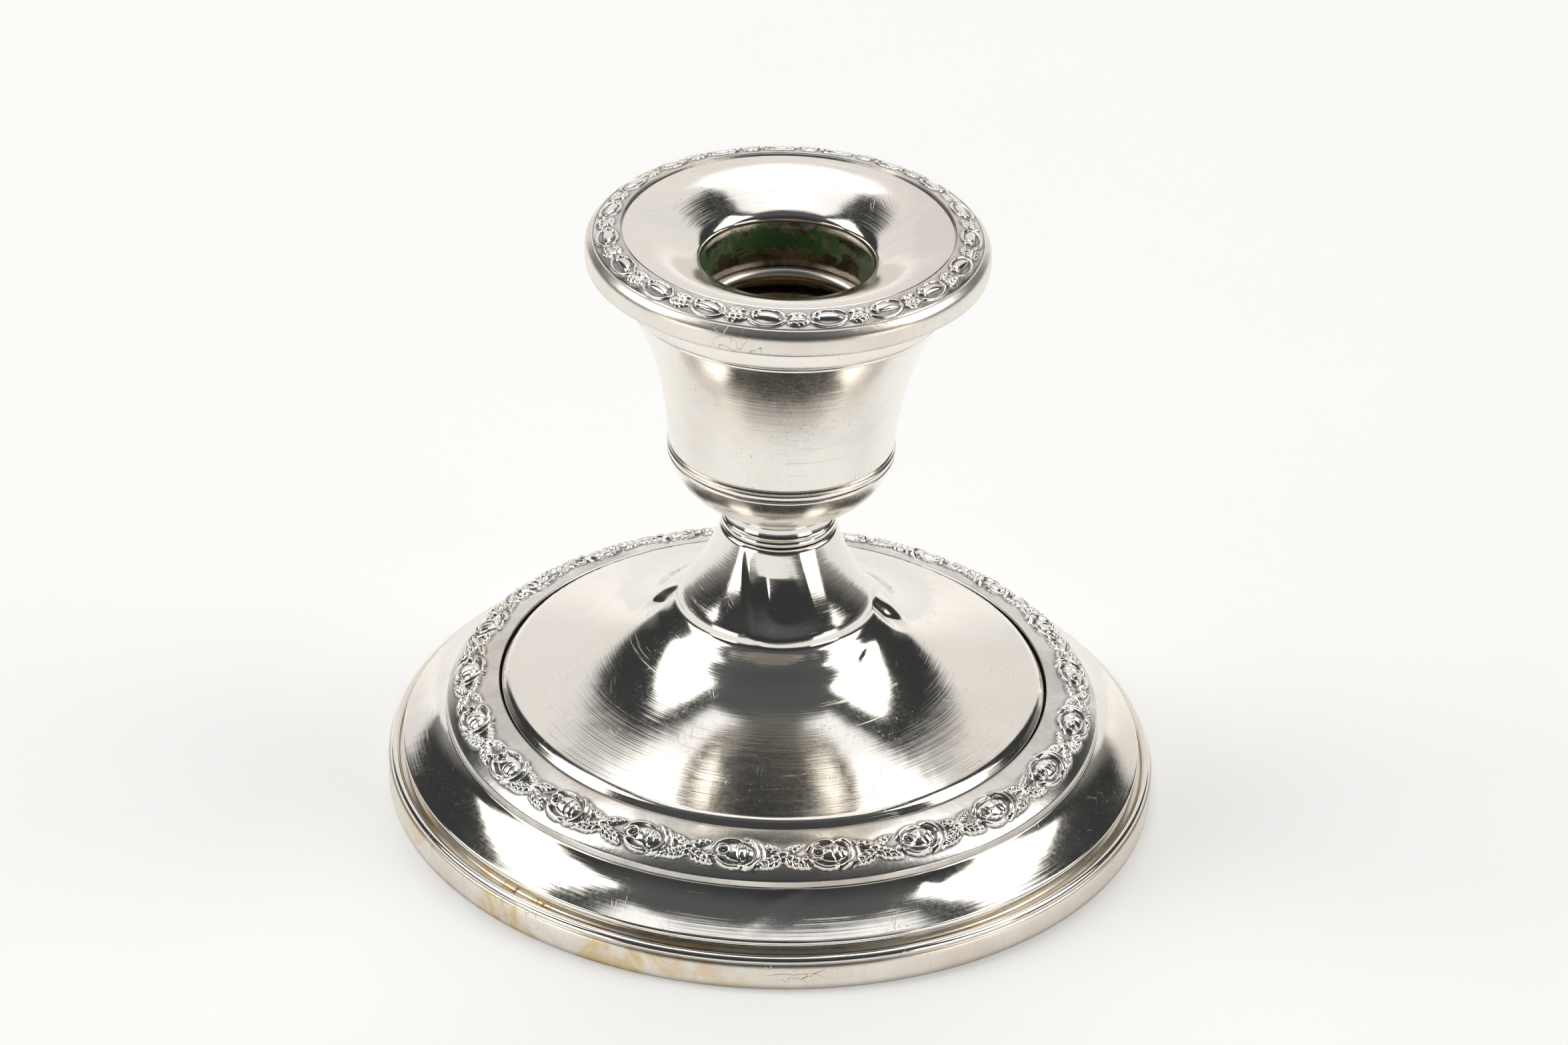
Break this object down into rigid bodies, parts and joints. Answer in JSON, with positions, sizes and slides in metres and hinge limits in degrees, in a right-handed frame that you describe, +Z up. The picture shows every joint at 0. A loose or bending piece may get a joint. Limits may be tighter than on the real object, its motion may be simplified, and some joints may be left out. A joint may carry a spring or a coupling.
{
  "type": "candlestick",
  "caption": "Low round candlestick: domed weighted base, waisted stem, bell-shaped candle cup and a lift-out dished nozzle, with stamped flower bands on base and nozzle.",
  "frame": {"origin": "on the turning axis at the centre of the underside, level with the table", "axes": "+Z up along the turning axis; +X and +Y are alike, since the part is turned"},
  "size_m": [0.1, 0.1, 0.0803],
  "materials": {
    "polished_silver": "polished silver with fine scratches and a warm tarnish",
    "oxidised_silver": "stamped relief, bright on its heights and dark in its recesses",
    "worn_silver": "dull, scuffed silver with patches of yellow and brown tarnish",
    "tarnished_silver": "brown tarnish with green verdigris",
    "liner_brass": "drawn brass, browned",
    "loading": "set pitch and plaster",
    "rod_iron": "plain iron",
    "tinplate": "plain tinplate",
    "baize": "green wool baize"
  },
  "bodies": {
    "stand": {"baize_pad": "baize", "base_plate": "tinplate", "foot_band": "worn_silver", "foot_bead": "polished_silver", "base_skirt": "polished_silver", "base_flower_band": "oxidised_silver", "base_dome": "polished_silver", "stem_neck": "polished_silver", "stem_collar": "polished_silver", "cup_bowl": "polished_silver", "cup_bead": "polished_silver", "cup_wall": "polished_silver", "cup_lip": "polished_silver", "socket_liner": "liner_brass", "pitch_filling": "loading", "stem_rod": "rod_iron"},
    "nozzle": {"nozzle_pan": "polished_silver", "nozzle_flower_band": "oxidised_silver", "nozzle_rim": "worn_silver", "nozzle_collar": "tarnished_silver", "nozzle_collar_bead": "tarnished_silver"}
  },
  "joints": [
    {"name": "nozzle_lift", "type": "slide", "parent": "stand", "child": "nozzle", "axis": [0, 0, 1], "range_m": [0, 0.03]}
  ]
}
